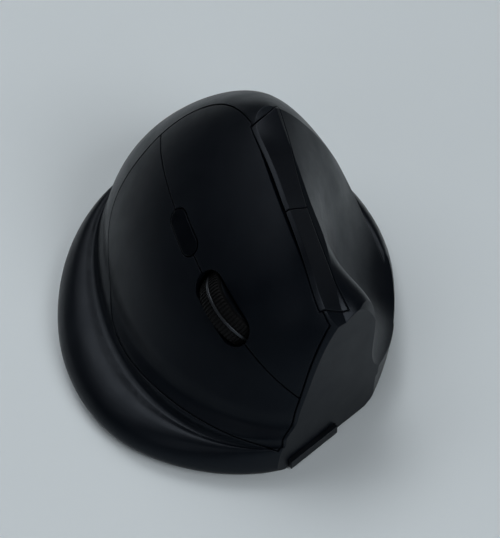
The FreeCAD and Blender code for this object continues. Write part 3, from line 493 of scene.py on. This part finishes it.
def joined(pieces):
    nothing_selected()
    for piece in pieces:
        piece.select_set(True)
    bpy.context.view_layer.objects.active = pieces[0]
    bpy.ops.object.join()
    return bpy.context.object


# %% Helpers for placing
AS_BUILT = Matrix.Identity(4)


def placed(x, y, z, turn, axis="Z"):
    """A place in millimetres, with a turn in degrees round one axis."""
    return Matrix.Translation((x * MM, y * MM, z * MM)) @ Matrix.Rotation(math.radians(turn), 4, axis)


def settle(piece, place, body, finish, angle=35.0):
    """Writes the place into the mesh, smooths it, gives it its finish and lets it ride on a body."""
    only(piece)
    piece.matrix_world = place
    bpy.ops.object.transform_apply(location=True, rotation=True, scale=True)
    bpy.ops.object.shade_smooth_by_angle(angle=math.radians(angle))
    piece.data.materials.clear()
    piece.data.materials.append(finish)
    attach(piece, body)
    print(piece.name, "has", len(piece.data.polygons), "faces")


# %% [markdown]
# ## The ribbed tyre
#
# The wheel's tyre is a rubber ring with fine ribs across it, so that a finger can turn it, and a narrow
# smooth ring of satin plastic runs round its middle and catches the light as a thin arc. A ring could be
# a cylinder with a hole, but then its edge would be hard. Here a circle of points becomes the section,
# a spin carries it round the axle, and every second strip of the tread is pushed in to leave the ribs.

# %% Spin a section round the axle
WELD = 0.01 * MM


def both_sides(half):
    """A whole section from its half on the +Z side, which is listed from the inside out."""
    return [(radius, -side) for radius, side in half] + [point for point in reversed(half) if point[1] > 0]


def spun_ring(name, half, steps):
    """A closed ring round +Z from half a section of (radius, side), in millimetres."""
    section = both_sides(half)
    nothing_selected()
    bpy.ops.mesh.primitive_circle_add(vertices=len(section), radius=1.0 * MM)
    ring = bpy.context.object
    ring.name = name
    for point, (radius, side) in zip(ring.data.vertices, section):
        point.co = (radius * MM, 0.0, side * MM)
    to_edit_mode("VERT")
    bpy.ops.mesh.select_all(action="SELECT")
    bpy.ops.mesh.spin(steps=steps, angle=2.0 * math.pi, center=(0, 0, 0), axis=(0, 0, 1))
    bpy.ops.mesh.select_all(action="SELECT")
    bpy.ops.mesh.remove_doubles(threshold=WELD)
    bpy.ops.mesh.normals_make_consistent(inside=False)
    to_object_mode()
    return ring


# %% The ribbed tyre
TYRE_HALF = (
    (9.2, 3.2), (9.9, 3.2), (10.4, 3.05), (10.66, 2.6), (10.78, 1.7), (10.80, 0.55), (10.55, 0.5),
)
TREAD_RADIUS = 10.5
TREAD_START = 0.54
GROOVE_DEPTH = 0.28
RIB_STEPS = 144


def in_groove(middle, normal):
    strip = int((math.atan2(middle.y, middle.x) / (2 * math.pi) + 1.0) * RIB_STEPS)
    on_tread = middle.xy.length > TREAD_RADIUS * MM and abs(middle.z) > TREAD_START * MM
    return strip % 2 == 0 and on_tread


def ribbed_tyre():
    tyre = spun_ring("ribbed_tyre", TYRE_HALF, RIB_STEPS)
    to_edit_mode()
    print("faces pushed in for grooves:", pick(tyre, in_groove))
    bpy.ops.mesh.extrude_region_shrink_fatten(
        MESH_OT_extrude_region={}, TRANSFORM_OT_shrink_fatten={"value": -GROOVE_DEPTH * MM})
    to_object_mode()
    soften(tyre, 0.05)
    return tyre


AXLE_TURN = Matrix.Rotation(math.radians(-90), 4, "X")
WHEEL_PLACE = Matrix.Translation(WHEEL_MIDDLE) @ FACE.to_3x3().to_4x4() @ AXLE_TURN
tyre = ribbed_tyre()
settle(tyre, WHEEL_PLACE, "wheel", TYRE_RUBBER)
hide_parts("wheel_tyre")

# %% The ring round the tyre's middle
MIDDLE_HALF = ((10.5, 0.36), (10.86, 0.36), (10.98, 0.24), (11.0, 0.0))
MIDDLE_STEPS = 128
middle_ring = spun_ring("tyre_middle_ring", MIDDLE_HALF, MIDDLE_STEPS)
settle(middle_ring, WHEEL_PLACE, "wheel", SATIN_GREY)

# %% [markdown]
# ## The glide pads
#
# Under the mouse sit four slick pads in shallow pockets. Each is a strip with round ends whose rim is
# eased, so that it slides over the weave of a mat. A cylinder is the quickest start: its two halves
# are pulled apart into a strip, the lower face is set in, and a bevel eases the rim. Points that lie
# right in the middle go with the +X half.

# %% The glide pads
PAD_WIDTH = 5.5
PAD_HEIGHT = 1.1
PAD_RIM = 0.7
HAIR = 1e-7
# Each pad has its middle x and y, its turn in degrees and its length.
PADS = (
    (6.0, 47.3, 0.0, 15.0),
    (-30.5, -26.0, -53.0, 24.0),
    (34.4, -8.0, 75.0, 15.0),
    (3.4, -44.2, 28.5, 15.0),
)


def glide_pad(name, length):
    pad = disc(name, sides=48, radius=PAD_WIDTH / 2, height=PAD_HEIGHT)
    pull = (length - PAD_WIDTH) / 2 * MM
    for point in pad.data.vertices:
        point.co.x += math.copysign(pull, point.co.x + HAIR)
    to_edit_mode()
    pick(pad, faces_down)
    bpy.ops.mesh.inset(thickness=PAD_RIM * MM, depth=0.0)
    to_object_mode()
    soften(pad, 0.25, segments=3)
    return pad


for number, (x, y, turn, length) in enumerate(PADS, start=1):
    pad = glide_pad("glide_pad_%d" % number, length)
    settle(pad, placed(x, y, 0.0, turn), "case", GLIDE_PAD)
    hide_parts("glide_feet")

# %% [markdown]
# ## The screws
#
# Six small screws close the case and three hold the main board. A real one has a flat head with a
# cross in it and a thread. The head starts as a cylinder. Two crossed bars are taken away from it with
# a Boolean modifier, and the thread is a row of thin collars, pushed out from rings of the shank. The
# two bars overlap in one mesh, so the modifier is told to expect that; else it would leave nothing.

# %% One screw
HEAD_RADIUS = 2.0
HEAD_HEIGHT = 1.0
SHANK_RADIUS = 1.0
THREAD_PITCH = 0.7
THREAD_GROWTH = 1.25
CROSS_REACH = 1.2
CROSS_WIDTH = 0.56
CROSS_START = -0.3
CROSS_END = 0.7


def cross_bars():
    reach, half = CROSS_REACH * MM, CROSS_WIDTH / 2 * MM
    low, high = CROSS_START * MM, CROSS_END * MM
    one = block("bar", (-reach, -half, low), (reach, half, high))
    other = block("bar", (-half, -reach, low), (half, reach, high))
    return joined([one, other])


def rise_and_grow(growth):
    """Pulls the selected face up by half a turn of the thread, then widens or narrows it."""
    rise = (0, 0, THREAD_PITCH / 2 * MM)
    bpy.ops.mesh.extrude_region_move(TRANSFORM_OT_translate={"value": rise})
    bpy.ops.transform.resize(value=(growth, growth, 1.0), center_override=(0, 0, 0))


def cross_screw(name, shank_length):
    """A screw whose head lies at the origin and whose shank points up +Z."""
    screw = disc(name, sides=40, radius=HEAD_RADIUS, height=HEAD_HEIGHT)
    to_edit_mode()
    pick(screw, faces_up)
    bpy.ops.mesh.inset(thickness=(HEAD_RADIUS - SHANK_RADIUS / THREAD_GROWTH) * MM, depth=0.0)
    for turn in range(int(shank_length / THREAD_PITCH)):
        rise_and_grow(THREAD_GROWTH)
        rise_and_grow(1 / THREAD_GROWTH)
    to_object_mode()
    carve(screw, cross_bars())
    soften(screw, 0.12, angle=60.0)
    return screw


def copy_of(piece, name):
    twin = piece.copy()
    twin.data = piece.data.copy()
    twin.name = name
    bpy.context.scene.collection.objects.link(twin)
    return twin


# %% The screws in their places
CASE_SCREWS = ((8.0, -26.0), (-4.0, -12.0), (-2.0, 13.0), (-35.0, -6.0), (33.0, 10.0), (-19.5, 38.0))
CASE_HEAD_Z = 0.8
CASE_SHANK = 4.4
CASE_TURN = 23.0
BOARD_SCREWS = ((-23.0, -19.0), (-23.0, 22.0), (-0.5, -19.5))
BOARD_HEAD_Z = 8.6
BOARD_SHANK = 3.4
long_screw = cross_screw("case_screw", CASE_SHANK)
for number, (x, y) in enumerate(CASE_SCREWS, start=1):
    screw = copy_of(long_screw, "case_screw_%d" % number)
    settle(screw, placed(x, y, CASE_HEAD_Z, CASE_TURN * number), "case", TURNED_STEEL)
    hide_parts("case_screws")
bpy.data.objects.remove(long_screw)
short_screw = cross_screw("board_screw", BOARD_SHANK)
for number, (x, y) in enumerate(BOARD_SCREWS, start=1):
    screw = copy_of(short_screw, "board_screw_%d" % number)
    settle(screw, placed(x, y, BOARD_HEAD_Z, 180.0, "X"), "case", TURNED_STEEL)
    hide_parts("board_screws")
bpy.data.objects.remove(short_screw)

# %% [markdown]
# ## The coil at the minus end of the cell
#
# A cone of bright wire presses the cell forward. The wire follows a spiral that widens towards the
# plate behind it. A curve with a round bevel makes it quickly, and turning it into a mesh at the end
# lets its place be written into its points like those of the other pieces.

# %% The coil
COIL_TURNS = 4.5
COIL_STEPS = 20
COIL_TIP = 1.6 * MM
COIL_ROOT = 4.2 * MM
WIRE = 0.45 * MM
PLATE_THICKNESS = 0.4 * MM


def coil_spring(name, tip, length):
    """A spiral of wire from tip towards +Y."""
    line = bpy.data.curves.new(name, "CURVE")
    line.dimensions = "3D"
    line.bevel_depth = WIRE / 2
    line.bevel_resolution = 2
    line.use_fill_caps = True
    count = int(COIL_TURNS * COIL_STEPS)
    spiral = line.splines.new("POLY")
    spiral.points.add(count)
    for step in range(count + 1):
        share = step / count
        angle = 2 * math.pi * COIL_TURNS * share
        radius = COIL_TIP + (COIL_ROOT - COIL_TIP) * share - WIRE / 2
        along = WIRE / 2 + (length - WIRE) * share
        spot = tip + Vector((radius * math.cos(angle), along, radius * math.sin(angle)))
        spiral.points[step].co = (*spot, 1.0)
    coil = bpy.data.objects.new(name, line)
    bpy.context.scene.collection.objects.link(coil)
    only(coil)
    bpy.ops.object.convert(target="MESH")
    return bpy.context.object


contact_low, contact_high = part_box("minus_contact")
coil_tip = Vector(((cell_low[0] + cell_high[0]) / 2, contact_low[1], (cell_low[2] + cell_high[2]) / 2))
coil = coil_spring("minus_coil", coil_tip, contact_high[1] - contact_low[1] - PLATE_THICKNESS)
settle(coil, AS_BUILT, "case", SPRING_NICKEL)

# %% [markdown]
# ### The plate behind the coil
#
# The coil stands on a thin sprung plate that leads the current to the board. The plate is a block
# whose broad faces are set in, so that its border stays even when the bevel eases the edges.

# %% The plate behind the coil
PLATE_RIM = 1.2


def faces_along_cell(middle, normal):
    return abs(normal.y) > 0.9


def contact_plate(name, low, high):
    plate = block(name, low, high)
    to_edit_mode()
    pick(plate, faces_along_cell)
    bpy.ops.mesh.inset(thickness=PLATE_RIM * MM, depth=0.0)
    to_object_mode()
    soften(plate, 0.1)
    return plate


plate_low = (contact_low[0], contact_high[1] - PLATE_THICKNESS, contact_low[2])
plate = contact_plate("minus_plate", plate_low, contact_high)
settle(plate, AS_BUILT, "case", SPRING_NICKEL)
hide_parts("minus_contact")

# %% [markdown]
# ## The receiver
#
# The little receiver sits head down in a bay of the base. Its plastic cap has a shallow recess for a
# fingernail. The cap starts as a box. Its upright corners are rounded by a bevel of their own, wider
# than the one that eases the rest, and two insets press the recess into the face that shows.

# %% The receiver's cap
CAP_HEIGHT = 5.0
CAP_CORNER = 1.0
CAP_RIM = 0.7
RECESS_SLOPE = 0.2
RECESS_DEPTH = 0.4


def pick_upright_edges(piece):
    mesh = bmesh.from_edit_mesh(piece.data)
    for edge in mesh.edges:
        one, other = (point.co for point in edge.verts)
        edge.select_set(abs(one.z - other.z) > 0.9 * (one - other).length)
    bmesh.update_edit_mesh(piece.data)


def receiver_cap(low, high):
    cap = block("receiver_cap", low, (high[0], high[1], low[2] + CAP_HEIGHT * MM))
    to_edit_mode("EDGE")
    pick_upright_edges(cap)
    bpy.ops.mesh.bevel(offset=CAP_CORNER * MM, segments=5, affect="EDGES")
    bpy.ops.mesh.select_mode(type="FACE")
    pick(cap, faces_down)
    bpy.ops.mesh.inset(thickness=CAP_RIM * MM, depth=0.0)
    bpy.ops.mesh.inset(thickness=RECESS_SLOPE * MM, depth=-RECESS_DEPTH * MM)
    to_object_mode()
    soften(cap, 0.15)
    return cap


cap_low, cap_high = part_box("usb_receiver")
cap = receiver_cap(cap_low, cap_high)
settle(cap, AS_BUILT, "receiver", SWITCH_BLACK)

# %% [markdown]
# ### The receiver's plug
#
# The plug is a steel sleeve with four square windows, round a black tongue that carries four gilded
# strips. The sleeve is a box whose upper face is set in and pushed down. Two short bars take its windows
# away, because each bar cuts through both walls. Every box of the plug is given by its ranges in x, y
# and z, in millimetres from the middle of the cap's inner face, so that the parts stay in step.

# %% The receiver's plug
PLUG_START = Vector((
    (cap_low[0] + cap_high[0]) / 2, (cap_low[1] + cap_high[1]) / 2, cap_low[2] + CAP_HEIGHT * MM))
SLEEVE = ((-6.0, 6.0), (-2.25, 2.25), (0.0, 11.5))
SLEEVE_WALL = 0.35
SLEEVE_DEPTH = 8.5
WINDOW = ((-1.1, 1.1), (-4.5, 4.5), (5.6, 7.6))
WINDOW_PLACES = (-2.6, 2.6)
TONGUE = ((-5.3, 5.3), (-1.85, -0.25), (3.2, 11.2))
STRIP = ((-0.55, 0.55), (-0.30, -0.19), (4.5, 10.8))
STRIP_PLACES = (-3.6, -1.2, 1.2, 3.6)


def plug_block(name, ranges, place=0.0):
    """A box of the plug, moved sideways to its place."""
    low, high = (PLUG_START + Vector(corner) * MM for corner in zip(*ranges))
    sideways = Vector((place * MM, 0.0, 0.0))
    return block(name, low + sideways, high + sideways)


def receiver_sleeve():
    sleeve = plug_block("receiver_plug", SLEEVE)
    to_edit_mode()
    pick(sleeve, faces_up)
    bpy.ops.mesh.inset(thickness=SLEEVE_WALL * MM, depth=0.0)
    bpy.ops.mesh.extrude_region_move(TRANSFORM_OT_translate={"value": (0, 0, -SLEEVE_DEPTH * MM)})
    to_object_mode()
    carve(sleeve, joined([plug_block("window", WINDOW, place) for place in WINDOW_PLACES]))
    soften(sleeve, 0.08)
    return sleeve


def receiver_tongue():
    tongue = plug_block("receiver_tongue", TONGUE)
    soften(tongue, 0.15)
    return tongue


def gilded_strips():
    gilded = joined([plug_block("gilded_strips", STRIP, place) for place in STRIP_PLACES])
    gilded.name = "gilded_strips"
    soften(gilded, 0.03)
    return gilded


settle(receiver_sleeve(), AS_BUILT, "receiver", TURNED_STEEL)
settle(receiver_tongue(), AS_BUILT, "receiver", CHIP_BLACK)
settle(gilded_strips(), AS_BUILT, "receiver", GILDED)
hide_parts("usb_receiver")

# %% [markdown]
# ## The power switch's knob
#
# The knob that shows in the slot of the base has two grooves across it, so that a fingernail can push
# it. They are taken away from a box by two bars that are longer than the knob is wide.

# %% The knob
NOTCH_PLACES = (-0.5, 0.5)
NOTCH_HALF_WIDTH = 0.18 * MM
NOTCH_DEPTH = 0.35 * MM
PAST_KNOB = 1.0 * MM


def grooved_knob(low, high):
    knob = block("grooved_knob", low, high)
    bars = []
    for place in NOTCH_PLACES:
        x = (low[0] + high[0]) / 2 + place * MM
        bar_low = (x - NOTCH_HALF_WIDTH, low[1] - PAST_KNOB, low[2] - PAST_KNOB)
        bar_high = (x + NOTCH_HALF_WIDTH, high[1] + PAST_KNOB, low[2] + NOTCH_DEPTH)
        bars.append(block("bar", bar_low, bar_high))
    carve(knob, joined(bars))
    soften(knob, 0.08)
    return knob


knob = grooved_knob(*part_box("power_switch_knob"))
settle(knob, AS_BUILT, "power_knob", FRAME_GREY)
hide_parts("power_switch_knob")

# %% [markdown]
# ## The desk
#
# The mouse stands on a pale bluish desk that fills the picture. A large sheet with a faint grain is
# enough. Seen from below, the sheet is clear, so that the underside of the mouse can be looked at:
# the Backfacing output of a Geometry node tells the two sides of the sheet apart. An oval under the
# mouse, which no camera above can see, also lets light through, so that the lamp below reaches the
# base. It is smaller than the base, or else a bright line would show along the foot of the mouse.

# %% The desk
DESK_SIZE = 6.0
OVAL_RADII = (0.0520, 0.0400, 1.0)
OVAL_TURN = (0.0, 0.0, math.radians(63.0))


def inside_oval(tree):
    """1 where the desk lies inside the oval, else 0."""
    oval = tree.nodes.new("ShaderNodeMapping")
    oval.vector_type = "TEXTURE"
    oval.inputs["Rotation"].default_value = OVAL_TURN
    oval.inputs["Scale"].default_value = OVAL_RADII
    tree.links.new(places(tree), oval.inputs["Vector"])
    way_out = tree.nodes.new("ShaderNodeVectorMath")
    way_out.operation = "LENGTH"
    tree.links.new(oval.outputs["Vector"], way_out.inputs[0])
    return arithmetic(tree, "LESS_THAN", way_out.outputs["Value"], 1.0)


def desk_finish():
    finish, tree, shader = new_finish("desk_finish")
    clouds = noise(tree, scale=9.0, detail=3.0)
    tone = two_tones(tree, clouds, (0.735, 0.812, 0.857), (0.775, 0.852, 0.897), given=(0.2, 0.8))
    tree.links.new(tone, shader.inputs["Base Color"])
    shader.inputs["Roughness"].default_value = 0.6
    grained = relief(tree, noise(tree, scale=1800.0, detail=3.0), depth=0.02 * MM, strength=0.3)
    tree.links.new(grained, shader.inputs["Normal"])
    ray = tree.nodes.new("ShaderNodeLightPath")
    unseen = arithmetic(tree, "SUBTRACT", 1.0, ray.outputs["Is Camera Ray"])
    window = arithmetic(tree, "MULTIPLY", inside_oval(tree), unseen)
    side = tree.nodes.new("ShaderNodeNewGeometry")
    chooser = tree.nodes.new("ShaderNodeMixShader")
    clear = tree.nodes.new("ShaderNodeBsdfTransparent")
    tree.links.new(arithmetic(tree, "MAXIMUM", side.outputs["Backfacing"], window), chooser.inputs["Fac"])
    tree.links.new(shader.outputs["BSDF"], chooser.inputs[1])
    tree.links.new(clear.outputs["BSDF"], chooser.inputs[2])
    tree.links.new(chooser.outputs["Shader"], tree.nodes["Material Output"].inputs["Surface"])
    return finish


nothing_selected()
bpy.ops.mesh.primitive_plane_add(size=DESK_SIZE, location=(0, 0, 0))
desk = bpy.context.object
desk.name = "desk"
desk.data.materials.append(desk_finish())
print("desk:", DESK_SIZE, "m wide")

# %% [markdown]
# ## Lamps
#
# The picture is lit like one for a catalogue: two soft lights above and behind the mouse draw the
# bright line along its top, two weaker ones on the left shape the finger ledge, and one in front, a
# little to the right, shows the nose. A faint one lifts the far right side, and one below shows the
# underside.

# %% Lamps
MOUSE_MIDDLE = (0.0, 0.0, 0.03)
BASE_MIDDLE = (0.0, 0.0, 0.0)
# Each lamp has its place, what it points at, its width and height, and its power in watts.
LAMPS = (
    ("lamp_above", (-0.05, 0.66, 0.96), MOUSE_MIDDLE, (1.2, 0.8), 3.3),
    ("lamp_top", (-0.10, 0.55, 1.00), MOUSE_MIDDLE, (0.5, 0.4), 1.7),
    ("lamp_left_back", (-0.66, 0.28, 0.85), MOUSE_MIDDLE, (0.6, 0.5), 1.3),
    ("lamp_left_front", (-0.70, -0.60, 0.60), MOUSE_MIDDLE, (0.6, 0.5), 0.7),
    ("lamp_front_right", (0.35, -0.80, 0.75), MOUSE_MIDDLE, (0.6, 0.5), 4.5),
    ("lamp_right", (0.95, 0.15, 0.55), MOUSE_MIDDLE, (0.6, 0.5), 0.15),
    ("lamp_below", (-0.10, -0.14, -0.60), BASE_MIDDLE, (0.5, 0.5), 3.2),
)


def soft_lamp(name, place, aim, size, power):
    lamp = bpy.data.lights.new(name, "AREA")
    lamp.shape = "RECTANGLE"
    lamp.size, lamp.size_y = size
    lamp.energy = power
    holder = bpy.data.objects.new(name, lamp)
    bpy.context.scene.collection.objects.link(holder)
    holder.location = place
    holder.rotation_euler = (Vector(aim) - Vector(place)).to_track_quat("-Z", "Y").to_euler()


for lamp in LAMPS:
    soft_lamp(*lamp)
print("lamps:", len(LAMPS))

# %% [markdown]
# ## The room
#
# The world stands in for the room. The camera sees it as a plain pale background, also through clear
# plastic. For every other ray it is nearly dark above the desk, because a black mouse mirrors a bright
# room and turns grey; the lamps and the desk light it instead. Below the desk it is brighter, so that
# the metal on the underside has something to mirror.

# %% The room
ROOM_COLOUR = (0.90, 0.95, 1.0, 1.0)
BACKGROUND = 0.5
LIGHT_BELOW = 0.35
LIGHT_ABOVE = 0.04
HORIZON = (-0.05, 0.05)


def pale_room():
    room = bpy.data.worlds.new("room")
    room.use_nodes = True
    tree = room.node_tree
    background = tree.nodes["Background"]
    background.inputs["Color"].default_value = ROOM_COLOUR
    direction = tree.nodes.new("ShaderNodeSeparateXYZ")
    tree.links.new(tree.nodes.new("ShaderNodeTexCoord").outputs["Generated"], direction.inputs["Vector"])
    light = spread(tree, direction.outputs["Z"], HORIZON, (LIGHT_BELOW, LIGHT_ABOVE))
    ray = tree.nodes.new("ShaderNodeLightPath")
    looking = arithmetic(
        tree, "MAXIMUM", ray.outputs["Is Camera Ray"], ray.outputs["Is Transmission Ray"])
    seen = arithmetic(tree, "MULTIPLY", looking, BACKGROUND)
    tree.links.new(arithmetic(tree, "MAXIMUM", light, seen), background.inputs["Strength"])
    return room


bpy.context.scene.world = pale_room()
print("world:", bpy.context.scene.world.name)

# %% [markdown]
# ## The camera
#
# The camera looks down from the front and a little from the left, through a long lens half a metre
# away, so the mouse keeps its true proportions.

# %% The camera
AIM = Vector((4.0, -5.5, 21.0)) * MM
CAMERA_AZIMUTH = math.radians(-16.0)
CAMERA_ELEVATION = math.radians(47.0)
CAMERA_DISTANCE = 0.5
FOCAL_LENGTH = 134.5
SENSOR_WIDTH = 36.0
NEAREST = 0.01
back = Vector((
    math.sin(CAMERA_AZIMUTH) * math.cos(CAMERA_ELEVATION),
    -math.cos(CAMERA_AZIMUTH) * math.cos(CAMERA_ELEVATION),
    math.sin(CAMERA_ELEVATION),
))
lens = bpy.data.cameras.new("catalogue_camera")
lens.lens = FOCAL_LENGTH
lens.sensor_width = SENSOR_WIDTH
lens.clip_start = NEAREST
camera = bpy.data.objects.new("catalogue_camera", lens)
bpy.context.scene.collection.objects.link(camera)
camera.location = AIM + back * CAMERA_DISTANCE
camera.rotation_euler = (-back).to_track_quat("-Z", "Y").to_euler()
bpy.context.scene.camera = camera
bpy.context.scene.view_settings.view_transform = "Standard"
print("camera at", [round(c, 4) for c in camera.location])
